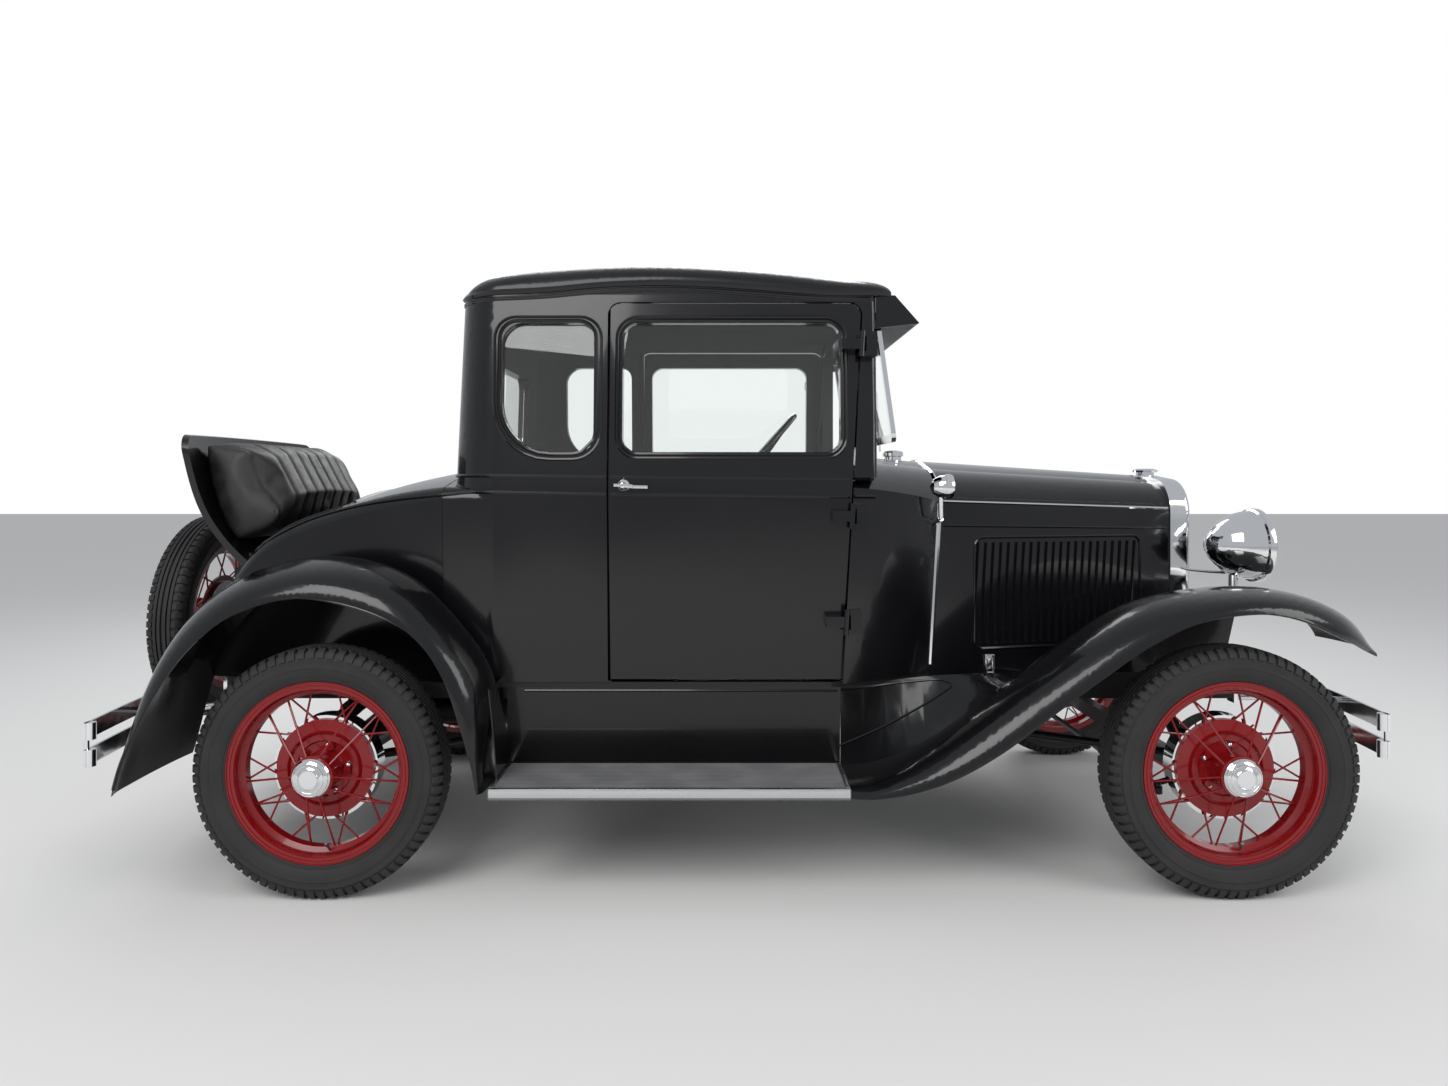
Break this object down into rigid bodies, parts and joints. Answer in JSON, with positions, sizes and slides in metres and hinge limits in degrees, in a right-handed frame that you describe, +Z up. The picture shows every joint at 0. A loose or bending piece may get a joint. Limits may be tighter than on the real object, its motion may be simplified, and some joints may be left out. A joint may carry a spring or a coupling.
{
  "type": "vintage five-window coupe with an open rumble seat",
  "caption": "Black vintage coupe with an open rumble seat, red wire wheels, a rear-mounted spare and chrome lamps and bumpers; its doors, lid, steering and wheels move.",
  "frame": {"origin": "on the ground under the middle of the car's length, on its centre line", "axes": "+X forward, +Y to the car's left, +Z up"},
  "size_m": [3.895, 1.6722, 1.914],
  "materials": {
    "black_paint": "gloss",
    "fender_black": "gloss",
    "red_paint": "gloss",
    "chrome": "polished",
    "chassis_black": "satin",
    "engine_green": "satin",
    "steel": "satin",
    "tyre_black": "matte",
    "window": "clear",
    "leather": "satin",
    "cloth": "matte",
    "roof_cloth": "satin",
    "mat": "matte",
    "bakelite": "gloss"
  },
  "bodies": {
    "car": {"frame_rails": "chassis_black", "front_axle": "chassis_black", "rear_axle": "chassis_black", "springs": "chassis_black", "engine": "engine_green", "exhaust": "steel", "floor_pan": "chassis_black", "cowl": "black_paint", "cab_shell": "black_paint", "roof_panel": "roof_cloth", "rear_body": "black_paint", "running_boards": "mat", "splash_aprons": "fender_black", "front_fenders": "fender_black", "rear_fenders": "fender_black", "radiator_shell": "chrome", "radiator_core": "chassis_black", "hood_top": "black_paint", "hood_sides": "black_paint", "windscreen_frame": "chrome", "body_glass": "window", "sun_visor": "black_paint", "seat_cushion": "cloth", "seat_back": "cloth", "dash_panel": "black_paint", "steering_column": "chassis_black", "headlamps": "chrome", "cowl_lamps": "chrome", "tail_lamps": "chrome", "front_bumper": "chrome", "rear_bumpers": "chrome", "spare_carrier": "chrome", "spare_tyre": "tyre_black", "spare_wheel": "red_paint", "rumble_cushion": "leather"},
    "front_left_wheel": {"tyre_front_left": "tyre_black", "wheel_front_left": "red_paint", "hub_front_left": "chrome"},
    "front_right_wheel": {"tyre_front_right": "tyre_black", "wheel_front_right": "red_paint", "hub_front_right": "chrome"},
    "rear_left_wheel": {"tyre_rear_left": "tyre_black", "wheel_rear_left": "red_paint", "hub_rear_left": "chrome"},
    "rear_right_wheel": {"tyre_rear_right": "tyre_black", "wheel_rear_right": "red_paint", "hub_rear_right": "chrome"},
    "left_knuckle": {"knuckle_left": "chassis_black"},
    "right_knuckle": {"knuckle_right": "chassis_black"},
    "track_rod": {"tie_rod": "chassis_black"},
    "hand_wheel": {"steering_wheel": "bakelite"},
    "left_door": {"door_left": "black_paint", "door_glass_left": "window"},
    "right_door": {"door_right": "black_paint", "door_glass_right": "window"},
    "rumble_seat_lid": {"rumble_lid": "black_paint", "rumble_back": "leather"}
  },
  "joints": [
    {"name": "front_left_spin", "type": "hinge", "parent": "left_knuckle", "child": "front_left_wheel", "pos_m": [1.472, 0.711, 0.362], "axis": [0, 1, 0], "continuous": true},
    {"name": "front_right_spin", "type": "hinge", "parent": "right_knuckle", "child": "front_right_wheel", "pos_m": [1.472, -0.711, 0.362], "axis": [0, 1, 0], "continuous": true},
    {"name": "rear_left_spin", "type": "hinge", "parent": "car", "child": "rear_left_wheel", "pos_m": [-1.157, 0.711, 0.362], "axis": [0, 1, 0], "continuous": true},
    {"name": "rear_right_spin", "type": "hinge", "parent": "car", "child": "rear_right_wheel", "pos_m": [-1.157, -0.711, 0.362], "axis": [0, 1, 0], "continuous": true},
    {"name": "steer_left", "type": "hinge", "parent": "car", "child": "left_knuckle", "pos_m": [1.472, 0.59, 0.362], "axis": [0, 0, 1], "range_deg": [-28, 28]},
    {"name": "steer_right", "type": "hinge", "parent": "car", "child": "right_knuckle", "pos_m": [1.472, -0.59, 0.362], "axis": [0, 0, 1], "range_deg": [-28, 28]},
    {"name": "track_rod_pivot", "type": "hinge", "parent": "left_knuckle", "child": "track_rod", "pos_m": [1.322, 0.59, 0.262], "axis": [0, 0, 1], "range_deg": [-28, 28]},
    {"name": "steering_wheel_turn", "type": "hinge", "parent": "car", "child": "hand_wheel", "pos_m": [0.15, 0.33, 1.3], "axis": [0.7547, 0, -0.6561], "range_deg": [-400, 400]},
    {"name": "left_door_hinge", "type": "hinge", "parent": "car", "child": "left_door", "pos_m": [0.3955, 0.652, 1.18], "axis": [-0.0558, 0, -0.9984], "range_deg": [0, 70]},
    {"name": "right_door_hinge", "type": "hinge", "parent": "car", "child": "right_door", "pos_m": [0.3955, -0.652, 1.18], "axis": [0.0558, 0, 0.9984], "range_deg": [0, 70]},
    {"name": "rumble_lid_hinge", "type": "hinge", "parent": "car", "child": "rumble_seat_lid", "pos_m": [-1.584, 0, 0.914], "axis": [0, 1, 0], "range_deg": [0, 80]}
  ],
  "couplings": [
    {"joint": "steer_right", "follows": "steer_left", "ratio": 1},
    {"joint": "track_rod_pivot", "follows": "steer_left", "ratio": -1},
    {"joint": "steering_wheel_turn", "follows": "steer_left", "ratio": -13}
  ]
}
